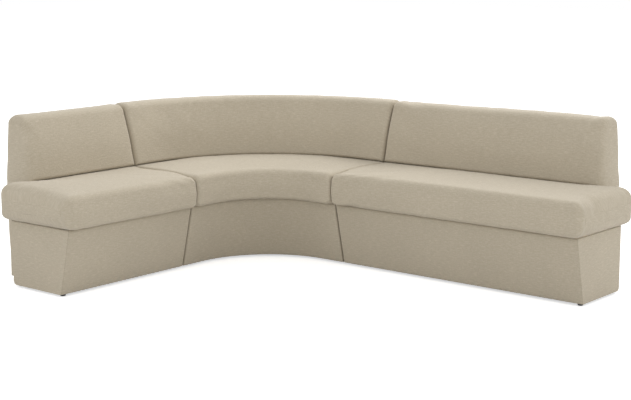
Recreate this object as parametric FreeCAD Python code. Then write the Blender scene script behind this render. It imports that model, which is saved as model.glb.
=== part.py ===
# Corner sofa of three upholstered modules: a short straight module, a curved
# quarter-turn module and a long straight module, bolted together side by side.
# Each module is a plywood plinth under a seat cushion, with a tall back that
# stands on the floor behind the plinth. Millimetres, +Z up, the long leg runs
# along +X and faces -Y, the short leg runs along -Y and faces +X. The origin is
# on the floor in the middle of the sofa's outer box.
import FreeCAD, Part
import math
import os
from FreeCAD import Vector

# Plan
corner_leg = 1100.0
corner_straight = 150.0
left_length = 800.0
right_length = 1400.0
seam_clearance = 0.3

# Heights
total_height = 820.0
seat_level = 502.0
seat_underside = 331.0
glide_height = 12.0
stack_clearance = 0.3

# Depths, from the plane of the back's rear face
plinth_rear = 163.0
plinth_front_low = 518.0
plinth_front_high = 584.0
seat_front = 636.0
back_lip = 188.0
back_top_depth = 102.0
back_clearance = 0.3

# Seat cushion
seat_overhang = 52.0
seat_front_bow = 7.0
seat_end_bow = 6.0
seat_crown = 7.0
seat_front_drop = 10.0
seat_corner_radius = 52.0
seat_top_radius = 44.0
seat_bottom_radius = 44.0
seat_rear_radius = 18.0
seam_shoulder = 13.0
seat_board_thickness = 18.0
seat_board_margin = 60.0
seat_board_rear_margin = 5.0

# Back
back_end_inset = 110.0
back_front_bow = 6.0
back_front_radius = 52.0
back_rear_radius = 10.0
back_foot_radius = 30.0
back_top_radius = 40.0
back_rear_padding = 12.0
back_top_padding = 48.0
back_end_padding = 56.0
back_seam_padding = 16.0
back_panel_thickness = 6.0
back_frame_depth_low = 98.0
back_frame_depth_high = 50.0
back_post_width = 45.0
back_rail_height = 45.0
back_panel_low = 300.0
back_panel_lift = 10.0

# Covers and boards
cover_thickness = 2.0
plinth_cover_thickness = 4.0
plinth_corner_radius = 14.0
board_thickness = 15.0
dust_cover_thickness = 1.5
post_spacing = 700.0
corner_post_angles = (30.0, 60.0)

# Glides, blocks and fasteners
glide_radius = 13.0
glide_edge = 28.0
glide_setback = 85.0
glide_chamfer = 2.0
block_size = 52.0
block_height = 60.0
screw_radius = 2.2
screw_head_radius = 4.5
screw_head_height = 3.0
screw_head_level = 3.0
screw_length = 42.0
bolt_radius = 4.0
bolt_head_radius = 7.5
bolt_head_height = 5.0
flange_radius = 11.0
flange_thickness = 1.6
hole_clearance = 0.15
seam_bolt_depths = (250.0, 440.0)
seam_bolt_heights = (110.0, 260.0)
back_bolt_heights = (90.0, 270.0)
back_bolt_grip = 60.0
seat_bolt_depths = (250.0, 480.0)
seat_bolt_edge = 150.0
seat_bolt_grip = 14.0
nut_thickness = 6.5

# Worked out from the sizes above
turn_radius = corner_leg - corner_straight
turn_centre = Vector(turn_radius, -turn_radius, 0)
frame_bottom = glide_height + dust_cover_thickness
plinth_top = seat_underside - stack_clearance
board_top = plinth_top - board_thickness
foot_front = plinth_rear - back_clearance
ledge_level = seat_level + stack_clearance
sofa_length = corner_leg + right_length + seat_overhang
sofa_width = corner_leg + left_length + seat_overhang
back_bottom = glide_height + cover_thickness
frame_rear = back_rear_padding + back_panel_thickness
board_face = plinth_cover_thickness + board_thickness
screw_hole = screw_radius + hole_clearance
bolt_hole = bolt_radius + hole_clearance
spare = 20.0
touch = 0.01
far = 4000.0
up = Vector(0, 0, 1)
diagonal = Vector(1, 1, 0)

PLINTH = [
    (plinth_rear, glide_height),
    (plinth_front_low, glide_height),
    (plinth_front_high, plinth_top),
    (plinth_rear, plinth_top),
]
SEAT = [
    (plinth_rear, seat_underside),
    (seat_front - seat_front_bow, seat_underside),
    (seat_front - seat_front_bow, seat_level - seat_front_drop),
    (plinth_rear, seat_level),
]
SEAT_BOWS = [0, seat_front_bow, seat_crown, 0]
FOOT = [(0, glide_height), (foot_front, glide_height), (foot_front, ledge_level), (0, ledge_level)]
BACK = [(0, ledge_level), (back_lip, ledge_level), (back_top_depth, total_height), (0, total_height)]
BACK_BOWS = [0, back_front_bow, 0, 0]
FRAME = [
    (frame_rear, back_bottom),
    (frame_rear + back_frame_depth_low, back_bottom),
    (frame_rear + back_frame_depth_low, seat_level),
    (frame_rear + back_frame_depth_high, total_height - back_top_padding),
    (frame_rear, total_height - back_top_padding),
]


def inset(corners, distances):
    """Corners of a convex outline, listed counterclockwise, with each side moved in by its distance."""
    lines = []
    for index, (x0, y0) in enumerate(corners):
        x1, y1 = corners[(index + 1) % len(corners)]
        length = math.hypot(x1 - x0, y1 - y0)
        nx, ny = (y1 - y0) / length, -(x1 - x0) / length
        lines.append((nx, ny, nx * x0 + ny * y0 - distances[index]))
    moved = []
    for index, (a1, b1, c1) in enumerate(lines):
        a0, b0, c0 = lines[index - 1]
        det = a0 * b1 - a1 * b0
        moved.append(((c0 * b1 - c1 * b0) / det, (a0 * c1 - a1 * c0) / det))
    return moved


def outline(corners, bows=None):
    """Face through (depth, height) corners at the seam plane, each side bowed out by its amount."""
    bows = bows or [0] * len(corners)
    edges = []
    for index, (d0, z0) in enumerate(corners):
        d1, z1 = corners[(index + 1) % len(corners)]
        start, end = Vector(0, -d0, z0), Vector(0, -d1, z1)
        if bows[index]:
            length = math.hypot(d1 - d0, z1 - z0)
            out_d, out_z = (z1 - z0) / length, -(d1 - d0) / length
            mid_d = (d0 + d1) / 2 + out_d * bows[index]
            mid_z = (z0 + z1) / 2 + out_z * bows[index]
            edges.append(Part.Arc(start, Vector(0, -mid_d, mid_z), end).toShape())
        else:
            edges.append(Part.LineSegment(start, end).toShape())
    return Part.Face(Part.Wire(edges))


def mirrored(shape):
    """The same shape on the short leg, reflected across the corner's diagonal."""
    return shape.mirror(Vector(0, 0, 0), diagonal)


def run_straight(face, start, end):
    """Body of a section pushed along the leg from start to end."""
    body = face.extrude(Vector(end - start, 0, 0))
    body.translate(Vector(start, 0, 0))
    return body


def run_corner(face, shorten=0):
    """Body of a section taken round the quarter turn, with a straight stretch at each end."""
    stretch = run_straight(face, turn_radius, corner_leg - seam_clearance - shorten)
    start = face.copy()
    start.translate(Vector(turn_radius, 0, 0))
    turn = start.revolve(turn_centre, up, 90)
    return stretch.fuse([turn, mirrored(stretch)]).removeSplitter()


def depth_of(point):
    """Distance of a point in front of the back's rear plane, round the turn too."""
    if point.x < turn_radius and point.y > -turn_radius:
        return turn_radius - math.hypot(point.x - turn_centre.x, point.y - turn_centre.y)
    return min(-point.y, point.x)


def edges_at(body, depth, height, curved):
    """Long edges of a body that follow the leg at one depth and height."""
    found = []
    for edge in body.Edges:
        middle = edge.valueAt((edge.FirstParameter + edge.LastParameter) / 2)
        points = [vertex.Point for vertex in edge.Vertexes] + [middle]
        on = all(
            abs((depth_of(p) if curved else -p.y) - depth) < touch and abs(p.z - height) < touch
            for p in points
        )
        if on:
            found.append(edge)
    return found


def edges_on(body, axis, value):
    """Edges of a body that lie in the plane where one coordinate has one value."""
    found = []
    for edge in body.Edges:
        middle = edge.valueAt((edge.FirstParameter + edge.LastParameter) / 2)
        points = [vertex.Point for vertex in edge.Vertexes] + [middle]
        if all(abs(getattr(p, axis) - value) < touch for p in points):
            found.append(edge)
    return found


def round_seam(body, radius, curved, start):
    """Soft shoulders round the face that meets the next module."""
    if curved:
        body = body.makeFillet(radius, edges_on(body, "x", start))
        return body.makeFillet(radius, edges_on(body, "y", -start))
    return body.makeFillet(radius, edges_on(body, "x", start))


def seam_face(curved, shrink=0):
    """Place along the leg of a module's own face at the seam."""
    if curved:
        return corner_leg - seam_clearance - shrink
    return seam_clearance + shrink


def end_edge(body, low_corner, high_corner):
    """Edge of a straight body's free end that joins two (depth, height) corners of its section."""
    found = []
    for edge in body.Edges:
        points = sorted((vertex.Point for vertex in edge.Vertexes), key=lambda p: p.z)
        if len(points) != 2 or points[0].x < body.BoundBox.Center.x:
            continue
        ends = [(-p.y, p.z) for p in points]
        if math.dist(ends[0], low_corner) < touch and math.dist(ends[1], high_corner) < touch:
            found.append(edge)
    return found


def end_plan(end, rear, front):
    """Plan of a straight cushion as a tall block, with its free end bowed out."""
    points = [
        Vector(-spare, spare - rear, 0),
        Vector(-spare, -front - spare, 0),
        Vector(end - seat_end_bow, -front - spare, 0),
        Vector(end - seat_end_bow, spare - rear, 0),
    ]
    bow_middle = Vector(end, -(rear + front) / 2, 0)
    edges = [
        Part.LineSegment(points[0], points[1]).toShape(),
        Part.LineSegment(points[1], points[2]).toShape(),
        Part.Arc(points[2], bow_middle, points[3]).toShape(),
        Part.LineSegment(points[3], points[0]).toShape(),
    ]
    return Part.Face(Part.Wire(edges)).extrude(up * far)


def seat_form(length, shrink=0):
    """Seat cushion with its crown, bowed sides and soft corners, moved in all round by shrink."""
    corners = inset(SEAT, [shrink] * 4)
    rear, low = corners[0]
    front, front_top = corners[2]
    face = outline(corners, SEAT_BOWS)
    curved = length is None
    if curved:
        body = run_corner(face, shrink)
    else:
        end = length + seat_overhang - shrink
        body = run_straight(face, seam_face(False, shrink), end + spare)
        body = body.common(end_plan(end, rear, front + seat_front_bow))
        body = body.makeFillet(seat_corner_radius - shrink, end_edge(body, corners[1], corners[2]))
    body = body.makeFillet(seat_top_radius - shrink, edges_at(body, front, front_top, curved))
    body = body.makeFillet(seat_bottom_radius - shrink, edges_at(body, front, low, curved))
    if curved:
        rear_edges = edges_at(body, rear, low, True) + edges_at(body, rear, corners[3][1], True)
    else:
        seam_end = seam_face(False, shrink) + touch
        rear_edges = [edge for edge in edges_on(body, "y", -rear) if edge.BoundBox.XMax > seam_end]
    body = body.makeFillet(seat_rear_radius - shrink, rear_edges)
    return round_seam(body, seam_shoulder - shrink, curved, seam_face(curved, shrink))


def run_module(face, length, end_inset, shrink=0):
    """Body of a section over the whole of a module, straight or, where length is None, curved."""
    if length is None:
        return run_corner(face, shrink)
    return run_straight(face, seam_face(False, shrink), length - end_inset - shrink)


def open_seam_edges(body, length, shrink, level):
    """Edges round a module's seam faces, but for those at one level."""
    start = seam_face(length is None, shrink)
    edges = edges_on(body, "x", start)
    if length is None:
        edges = edges + edges_on(body, "y", -start)
    return [edge for edge in edges if edge.BoundBox.ZMax - level > touch or edge.BoundBox.ZMin - level < -touch]


def back_form(length, shrink=0):
    """Back with its leaning front, round top and foot down to the floor, moved in by shrink."""
    curved = length is None
    level = ledge_level + shrink
    corners = inset(BACK, [shrink] * 4)
    rest = run_module(outline(corners, BACK_BOWS), length, back_end_inset, shrink)
    if not curved:
        rest = rest.makeFillet(back_front_radius - shrink, end_edge(rest, corners[1], corners[2]))
        rest = rest.makeFillet(back_rear_radius - shrink, end_edge(rest, corners[0], corners[3]))
    top_edges = edges_at(rest, corners[2][0], corners[2][1], curved)
    if curved:
        top_edges = top_edges + edges_at(rest, corners[3][0], corners[3][1], True)
    rest = rest.makeFillet(back_top_radius - shrink, top_edges)
    rest = rest.makeFillet(seam_shoulder - shrink, open_seam_edges(rest, length, shrink, level))
    corners = inset(FOOT, [shrink, shrink, -shrink, shrink])
    foot = run_module(outline(corners), length, back_end_inset, shrink)
    if not curved:
        foot = foot.makeFillet(back_foot_radius - shrink, end_edge(foot, corners[1], corners[2]))
        foot = foot.makeFillet(back_rear_radius - shrink, end_edge(foot, corners[0], corners[3]))
    foot = foot.makeFillet(seam_shoulder - shrink, open_seam_edges(foot, length, shrink, level))
    return rest.fuse(foot).removeSplitter()


def plinth_block(length, bottom, front, top, rear, ends, radius=0):
    """Block with the plinth's slanted front, each side moved in by its distance."""
    corners = inset(PLINTH, [bottom, front, top, rear])
    body = run_module(outline(corners), length, 0, ends)
    if radius:
        start = seam_face(length is None, ends)
        edges = edges_on(body, "x", start)
        if length is None:
            edges = edges + edges_on(body, "y", -start)
        else:
            edges = edges + edges_on(body, "x", length - ends)
        body = body.makeFillet(radius, [edge for edge in edges if edge.BoundBox.ZLength > touch])
    return body


def slabs(places, angles, width, length):
    """Upright slabs across a module, at places along the leg or at angles round the turn."""
    found = []
    for place in places:
        slab = Part.makeBox(width, far, far, Vector(place - width / 2, -far, 0))
        found.append(slab)
        if length is None:
            found.append(mirrored(slab))
    if length is None:
        for angle in angles:
            slab = Part.makeBox(width, far, far, Vector(turn_centre.x - width / 2, turn_centre.y, 0))
            slab.rotate(turn_centre, up, angle)
            found.append(slab)
    return found


def level_band(low, high):
    """Wide flat block between two heights."""
    return Part.makeBox(2 * far, 2 * far, high - low, Vector(-far, -far, low))


def pieces_in(body, cutters):
    """The parts of a body that lie in each cutter."""
    return [body.common(cutter) for cutter in cutters]


def middles(values):
    """Middle of each pair of neighbouring values."""
    return [(a + b) / 2 for a, b in zip(values, values[1:])]


def post_places(length):
    """Places along the leg of the back's posts."""
    half = back_post_width / 2
    if length is None:
        return [corner_leg - seam_clearance - back_seam_padding - half]
    first = seam_clearance + back_seam_padding + half
    last = length - back_end_inset - back_end_padding - half
    gaps = max(1, math.ceil((last - first) / post_spacing))
    return [first + (last - first) * index / gaps for index in range(gaps + 1)]


def at_places(length, places, angles, depths):
    """Plan points at depths, at places along the leg or at angles round the turn, with the way out."""
    found = []
    for depth in depths:
        for place in places:
            found.append((Vector(place, -depth, 0), Vector(0, 1, 0)))
            if length is None:
                found.append((Vector(depth, -place, 0), Vector(-1, 0, 0)))
        if length is None:
            for angle in angles:
                turn = math.radians(angle)
                way = Vector(-math.sin(turn), math.cos(turn), 0)
                found.append((turn_centre + way * (turn_radius - depth), way))
    return found


def hexagon(start, direction, radius, length):
    """Hexagonal head or nut."""
    side = Vector(0, 0, 1).cross(direction)
    if side.Length < 0.5:
        side = Vector(1, 0, 0)
    other = direction.cross(side)
    points = []
    for index in range(7):
        turn = math.radians(60 * index)
        points.append(start + side * (radius * math.cos(turn)) + other * (radius * math.sin(turn)))
    return Part.Face(Part.makePolygon(points)).extrude(direction * length)


def flange_bolt(seat, direction, length):
    """Bolt with a flange that bears at seat, its shank along direction and its head behind."""
    flange = Part.makeCylinder(flange_radius, flange_thickness, seat, direction * -1)
    shank = Part.makeCylinder(bolt_radius, length, seat, direction)
    head = hexagon(seat - direction * flange_thickness, direction * -1, bolt_head_radius, bolt_head_height)
    return flange.fuse([shank, head]).removeSplitter()


def nut(seat, direction):
    """Nut that bears at seat, on the end of a bolt along direction."""
    body = hexagon(seat, direction, bolt_head_radius, nut_thickness)
    return body.cut(Part.makeCylinder(bolt_hole, nut_thickness, seat, direction))


def glide(point):
    """Round glide under the sofa, with a sunk seat for its screw."""
    body = Part.makeCylinder(glide_radius, glide_height, point)
    rim = [edge for edge in body.Edges if edge.BoundBox.ZMax < 0.01]
    body = body.makeChamfer(glide_chamfer, rim)
    sunk = Part.makeCylinder(screw_head_radius + hole_clearance, screw_head_level + screw_head_height, point)
    return body.cut(sunk.fuse(Part.makeCylinder(screw_hole, glide_height, point)))


def glide_screw(point):
    """Screw that holds a glide."""
    head = Part.makeCylinder(screw_head_radius, screw_head_height, point + up * screw_head_level)
    top = point + up * (screw_head_level + screw_head_height)
    return head.fuse(Part.makeCylinder(screw_radius, screw_length, top))


def drill(module, names, holes):
    """Cuts holes in the named pieces of a module."""
    for name in names:
        cutters = Part.makeCompound(holes)
        module[name] = [piece.cut(cutters) for piece in module[name]]


def make_plinth(length):
    """Cover, boards and ribs of one plinth."""
    wrapped = plinth_cover_thickness
    radius = plinth_corner_radius - wrapped
    low = dust_cover_thickness
    outside = plinth_block(length, 0, 0, 0, 0, 0, plinth_corner_radius)
    inside = plinth_block(length, -spare, wrapped, -spare, wrapped, wrapped, radius)
    walls = plinth_block(length, low, wrapped, board_thickness, wrapped, wrapped, radius)
    walls = walls.cut(plinth_block(length, -spare, board_face, -spare, board_face, -spare)).Solids
    ends = plinth_block(length, low, board_face, board_thickness, board_face, wrapped)
    ends = ends.cut(plinth_block(length, -spare, -spare, -spare, -spare, board_face)).Solids
    hollow = plinth_block(length, low, board_face, board_thickness, board_face, board_face)
    rib_places = [] if length is None else middles(post_places(length))
    rib_angles = middles((0,) + corner_post_angles + (90,))
    wrapped_all = plinth_block(length, 0, wrapped, 0, wrapped, wrapped, radius)
    top = wrapped_all.common(level_band(board_top, plinth_top))
    sheet = wrapped_all.common(level_band(glide_height, frame_bottom))
    blocks = [block.common(hollow) for block in corner_blocks(length)]
    front, rear = sorted(walls, key=lambda wall: wall.BoundBox.DiagonalLength * (-1 if length else 1))
    return {
        "plinth_cover": [outside.cut(inside)],
        "plinth_front_board": [front],
        "plinth_rear_board": [rear],
        "plinth_end_boards": ends,
        "plinth_ribs": pieces_in(hollow, slabs(rib_places, rib_angles, board_thickness, length)),
        "plinth_blocks": blocks,
        "plinth_top_board": [top],
        "dust_cover": [sheet],
    }


def plinth_glide_points(length):
    """Plan points of the glides under a plinth. Only a free front corner has one near its edge."""
    rear = plinth_rear + glide_edge
    set_back = plinth_front_low - glide_setback
    if length is None:
        seam = corner_leg - seam_clearance - glide_edge
        spots = [(seam, rear), (seam, set_back)]
    else:
        seam = seam_clearance + glide_edge
        spots = [(seam, rear), (seam, set_back)]
        spots.append((length - glide_setback, rear))
        spots.append((length - glide_edge, plinth_front_low - glide_edge))
    return [point for place, depth in spots for point, way in at_places(length, [place], (), (depth,))]


def corner_blocks(length):
    """Blocks over the plinth's glides, each turned to its leg."""
    blocks = []
    for point in plinth_glide_points(length):
        corner = point - Vector(block_size / 2, block_size / 2, -frame_bottom)
        blocks.append(Part.makeBox(block_size, block_size, block_height, corner))
    return blocks


def make_seat(length):
    """Cover, foam and board of one seat."""
    cover = seat_form(length)
    filling = seat_form(length, cover_thickness)
    board_low = seat_underside + cover_thickness
    board_high = board_low + seat_board_thickness
    rear = plinth_rear + seat_rear_radius + seat_board_rear_margin
    front = seat_front - seat_board_margin
    section = [(rear, board_low), (front, board_low), (front, board_high), (rear, board_high)]
    seam_margin = seam_shoulder + seat_board_rear_margin
    if length is None:
        board = run_corner(outline(section), seam_margin)
    else:
        free_end = length + seat_overhang - seat_board_margin
        board = run_straight(outline(section), seam_clearance + seam_margin, free_end)
    return {
        "seat_cover": [cover.cut(filling)],
        "seat_foam": [filling.cut(board)],
        "seat_board": [board],
    }


def frame_body(section, length):
    """Body of a section over the length that the back's frame takes."""
    if length is None:
        return run_corner(outline(section), back_seam_padding)
    start = seam_clearance + back_seam_padding
    return run_straight(outline(section), start, length - back_end_inset - back_end_padding)


def make_back(length):
    """Cover, foam, panels, posts and rails of one back."""
    cover = back_form(length)
    filling = back_form(length, cover_thickness)
    frame = frame_body(FRAME, length)
    thick = back_panel_thickness
    front_raise = back_panel_low - back_bottom
    front_panel = frame_body(inset(FRAME, [front_raise, -thick, -thick, 0, 0]), length).cut(frame)
    rear_panel = frame_body(inset(FRAME, [back_panel_lift, 0, 0, 0, -thick]), length).cut(frame)
    posts = pieces_in(frame, slabs(post_places(length), corner_post_angles, back_post_width, length))
    all_posts = Part.makeCompound(posts)
    rails = []
    seat_rail = seat_level - back_rail_height
    top_rail = total_height - back_top_padding - back_rail_height
    for level in (back_bottom, seat_rail, top_rail):
        band = level_band(level, level + back_rail_height)
        rails.extend(frame.common(band).cut(all_posts).Solids)
    core = frame_body(inset(FRAME, [-spare, 0, 0, 0, 0]), length)
    foam = filling.cut(Part.makeCompound([core])).cut(front_panel).cut(rear_panel)
    return {
        "back_cover": [cover.cut(filling)],
        "back_foam": [foam],
        "back_front_panel": [front_panel],
        "back_rear_panel": [rear_panel],
        "back_posts": posts,
        "back_rails": rails,
    }


def back_glide_points(length):
    """Plan points of the glides under a back's posts."""
    depth = frame_rear + back_frame_depth_low / 2
    return [point for point, way in at_places(length, post_places(length), corner_post_angles, (depth,))]


def fasten_glides(module, length):
    """Glides with their screws, and the holes that the screws pass."""
    under_plinth = plinth_glide_points(length)
    under_back = back_glide_points(length)
    module["glides"] = [glide(point) for point in under_plinth + under_back]
    screws = [glide_screw(point) for point in under_plinth + under_back]
    reach = screw_head_level + screw_head_height + screw_length
    drill(module, ("dust_cover", "plinth_blocks"), [rod(p, up, screw_hole, reach) for p in under_plinth])
    drill(module, ("back_cover", "back_posts"), [rod(p, up, screw_hole, reach) for p in under_back])
    return screws


def fasten_seat(module, length):
    """Bolts up through the plinth's top board into the seat board."""
    places = [] if length is None else [seat_bolt_edge, length - seat_bolt_edge]
    points = at_places(length, places, corner_post_angles, seat_bolt_depths)
    reach = seat_underside + cover_thickness + seat_bolt_grip - board_top
    bolts = []
    holes = []
    for point, way in points:
        start = point + up * board_top
        bolts.append(flange_bolt(start, up, reach))
        holes.append(rod(start, up, bolt_hole, reach))
    drill(module, ("plinth_top_board", "seat_cover", "seat_board"), holes)
    return bolts


def fasten_back(module, length):
    """Bolts from inside the plinth back into the posts."""
    start_depth = plinth_rear + board_face
    end_depth = frame_rear + back_frame_depth_low - back_bolt_grip
    bolts = []
    holes = []
    for point, way in at_places(length, post_places(length), corner_post_angles, (start_depth,)):
        for height in back_bolt_heights:
            start = point + up * height
            bolts.append(flange_bolt(start, way, start_depth - end_depth))
            holes.append(rod(start, way, bolt_hole, start_depth - end_depth))
    names = ("plinth_rear_board", "plinth_cover", "back_cover", "back_foam", "back_posts")
    drill(module, names, holes)
    return bolts


def seam_holes():
    """Holes for the bolts through a seam, for a leg whose seam is at nought."""
    reach = seam_clearance + board_face
    return [
        rod(Vector(-reach, -depth, height), Vector(1, 0, 0), bolt_hole, 2 * reach)
        for depth in seam_bolt_depths
        for height in seam_bolt_heights
    ]


def seam_fasteners():
    """Bolts and nuts through a seam, for a leg whose seam is at nought."""
    reach = seam_clearance + board_face
    bolts = []
    nuts = []
    for depth in seam_bolt_depths:
        for height in seam_bolt_heights:
            start = Vector(reach, -depth, height)
            back = Vector(-1, 0, 0)
            bolts.append(flange_bolt(start, back, 2 * reach + nut_thickness))
            nuts.append(nut(start + back * (2 * reach), back))
    return bolts, nuts


def rod(start, direction, radius, length):
    """Round bar or hole."""
    return Part.makeCylinder(radius, length, start, direction)


def moved(shapes, along):
    """Copies of shapes pushed along the long leg."""
    copies = []
    for shape in shapes:
        copy = shape.copy()
        copy.translate(Vector(along, 0, 0))
        copies.append(copy)
    return copies


def make_module(length):
    """Every piece of one module and its fasteners by kind, where length is None for the corner."""
    module = {}
    module.update(make_plinth(length))
    module.update(make_seat(length))
    module.update(make_back(length))
    fasteners = {
        "glide_screws": fasten_glides(module, length),
        "seat_bolts": fasten_seat(module, length),
        "back_bolts": fasten_back(module, length),
    }
    holes = seam_holes()
    if length is None:
        holes = moved(holes, corner_leg)
        holes = holes + [mirrored(hole) for hole in holes]
    drill(module, ("plinth_cover", "plinth_end_boards"), holes)
    return module, fasteners


def write(name, shapes, to_origin):
    """Writes one node, moved to the part's origin."""
    solids = [solid for shape in shapes for solid in shape.Solids]
    body = solids[0].copy() if len(solids) == 1 else Part.makeCompound(solids)
    body.translate(to_origin)
    body.exportStep("parts/" + name + ".step")
    print(name, len(solids), round(sum(solid.Volume for solid in solids) / 1000, 1), "cm3")


def main():
    """Builds the three modules and writes every node."""
    os.makedirs("parts", exist_ok=True)
    to_origin = Vector(-sofa_length / 2, sofa_width / 2, 0)
    whole = {"glide_screws": [], "seat_bolts": [], "back_bolts": [], "seam_bolts": [], "seam_nuts": []}
    bolts, nuts = seam_fasteners()
    bolts, nuts = moved(bolts, corner_leg), moved(nuts, corner_leg)
    whole["seam_bolts"] = bolts + [mirrored(bolt) for bolt in bolts]
    whole["seam_nuts"] = nuts + [mirrored(nut_body) for nut_body in nuts]
    for side, length in (("left", left_length), ("corner", None), ("right", right_length)):
        module, fasteners = make_module(length)
        for kind, shapes in {**module, **fasteners}.items():
            if length is not None:
                shapes = moved(shapes, corner_leg)
            if side == "left":
                shapes = [mirrored(shape) for shape in shapes]
            if kind in fasteners:
                whole[kind].extend(shapes)
            else:
                write(side + "_" + kind, shapes, to_origin)
    for kind, shapes in whole.items():
        write(kind, shapes, to_origin)


main()
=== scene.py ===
"""Dresses the corner sofa: fabric covers over plinths, seats and backs, with camera, light and floor."""
import logging
import math
from dataclasses import dataclass, field, replace
from enum import Enum
from typing import Callable, Dict, List, Optional, Sequence, Tuple

import bmesh
import bpy
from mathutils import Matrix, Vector, noise

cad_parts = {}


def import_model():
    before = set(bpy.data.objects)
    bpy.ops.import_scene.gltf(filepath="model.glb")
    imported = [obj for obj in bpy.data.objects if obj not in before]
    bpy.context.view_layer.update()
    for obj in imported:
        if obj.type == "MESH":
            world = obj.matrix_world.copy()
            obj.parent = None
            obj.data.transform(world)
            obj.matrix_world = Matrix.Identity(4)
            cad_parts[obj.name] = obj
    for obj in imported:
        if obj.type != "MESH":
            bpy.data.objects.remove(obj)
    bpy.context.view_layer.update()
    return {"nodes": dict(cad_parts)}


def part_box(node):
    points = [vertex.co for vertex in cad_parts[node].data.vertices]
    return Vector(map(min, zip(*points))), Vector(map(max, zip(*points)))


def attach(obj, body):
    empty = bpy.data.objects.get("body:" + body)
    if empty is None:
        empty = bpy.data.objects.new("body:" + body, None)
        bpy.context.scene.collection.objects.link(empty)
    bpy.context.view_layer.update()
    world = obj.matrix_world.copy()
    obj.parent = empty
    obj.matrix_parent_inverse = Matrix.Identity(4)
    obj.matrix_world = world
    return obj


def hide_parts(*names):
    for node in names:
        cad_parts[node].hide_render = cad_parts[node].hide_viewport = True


LOG = logging.getLogger("corner_sofa")
FAR = 10.0
Point = Tuple[float, float]
Place = Tuple[float, float, float]
Stretch = Tuple[float, float]
Colour = Tuple[float, float, float]


class Leg(Enum):
    """The three modules of the sofa, by the name that their nodes start with."""

    SHORT = "left"
    CORNER = "corner"
    LONG = "right"


class Side(Enum):
    """Sides of a soft form's section, in the order round it."""

    BOTTOM = 0
    FRONT = 1
    TOP = 2
    REAR = 3


def smooth(value: float, low: float, high: float) -> float:
    """Share from 0 at low to 1 at high, with soft ends."""
    share = min(1.0, max(0.0, (value - low) / (high - low)))
    return share * share * (3 - 2 * share)


@dataclass(frozen=True)
class Plan:
    """Where the sofa's lines lie on the floor, in metres, read from the frame.

    Args:
        rear_x: plane of the short leg's rear face.
        rear_y: plane of the long leg's rear face.
        seam: distance of each seam from those planes, along the leg.
        straight: straight stretch between a seam and the turn.
        clearance: gap between a module's own face and the seam plane.
    """

    rear_x: float
    rear_y: float
    seam: float
    straight: float = 0.150
    clearance: float = 0.0003

    @classmethod
    def from_frame(cls) -> "Plan":
        """Reads the plan from the CAD boxes.

        Returns:
            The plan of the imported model.
        """
        corner_low, corner_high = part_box("corner_back_cover")
        long_low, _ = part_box("right_plinth_cover")
        return cls(corner_low.x, corner_high.y, (long_low.x + corner_high.x) / 2 - corner_low.x)

    @property
    def turn_radius(self) -> float:
        """Radius of the rear face's turn."""
        return self.seam - self.straight


@dataclass(frozen=True)
class Run:
    """The line that one module follows, which turns (along, depth, height) into a place.

    Args:
        plan: the sofa's plan.
        leg: which module this is.
        mean_depth: depth at which distances round the turn are measured.
    """

    plan: Plan
    leg: Leg
    mean_depth: float = 0.40

    @property
    def turn_length(self) -> float:
        """Length of the turn at the mean depth."""
        return math.pi / 2 * (self.plan.turn_radius - self.mean_depth)

    @property
    def corner_length(self) -> float:
        """Length of the corner module at the mean depth."""
        return 2 * self.plan.straight + self.turn_length

    def place(self, along: float, depth: float, height: float) -> Vector:
        """Place of a point of this module.

        Args:
            along: distance from the module's first seam.
            depth: distance in front of the back's rear plane.
            height: height over the floor.

        Returns:
            The point in the shared frame.
        """
        plan = self.plan
        if self.leg is Leg.LONG:
            return Vector((plan.rear_x + plan.seam + along, plan.rear_y - depth, height))
        if self.leg is Leg.SHORT:
            return Vector((plan.rear_x + depth, plan.rear_y - plan.seam - along, height))
        if along <= plan.straight:
            return Vector((plan.rear_x + plan.seam - along, plan.rear_y - depth, height))
        past_turn = along - plan.straight - self.turn_length
        if past_turn >= 0:
            return Vector((plan.rear_x + depth, plan.rear_y - plan.turn_radius - past_turn, height))
        angle = (along - plan.straight) / self.turn_length * math.pi / 2
        reach = plan.turn_radius - depth
        centre_x = plan.rear_x + plan.turn_radius
        centre_y = plan.rear_y - plan.turn_radius
        return Vector((centre_x - reach * math.sin(angle), centre_y + reach * math.cos(angle), height))

    def locate(self, point: Vector) -> Place:
        """Place along, in depth and in height of a point, the reverse of place.

        Args:
            point: a point in the shared frame.

        Returns:
            Distance from the first seam, depth and height.
        """
        plan = self.plan
        from_x, from_y = point.x - plan.rear_x, plan.rear_y - point.y
        if self.leg is Leg.LONG:
            return from_x - plan.seam, from_y, point.z
        if self.leg is Leg.SHORT:
            return from_y - plan.seam, from_x, point.z
        if from_x >= plan.turn_radius:
            return plan.seam - from_x, from_y, point.z
        if from_y >= plan.turn_radius:
            return plan.straight + self.turn_length + from_y - plan.turn_radius, from_x, point.z
        side, ahead = plan.turn_radius - from_x, plan.turn_radius - from_y
        turned = math.atan2(side, ahead) / (math.pi / 2)
        return plan.straight + turned * self.turn_length, plan.turn_radius - math.hypot(side, ahead), point.z

    def cloth_length(self, along: float, depth: float) -> float:
        """Length of cloth from the first seam to a point, at that point's own depth.

        Args:
            along: place along the run.
            depth: place in from the rear.

        Returns:
            The length in metres.
        """
        if self.leg is not Leg.CORNER or along <= self.plan.straight:
            return along
        turned = min(1.0, (along - self.plan.straight) / self.turn_length)
        past_turn = max(0.0, along - self.plan.straight - self.turn_length)
        return self.plan.straight + turned * math.pi / 2 * (self.plan.turn_radius - depth) + past_turn


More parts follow.
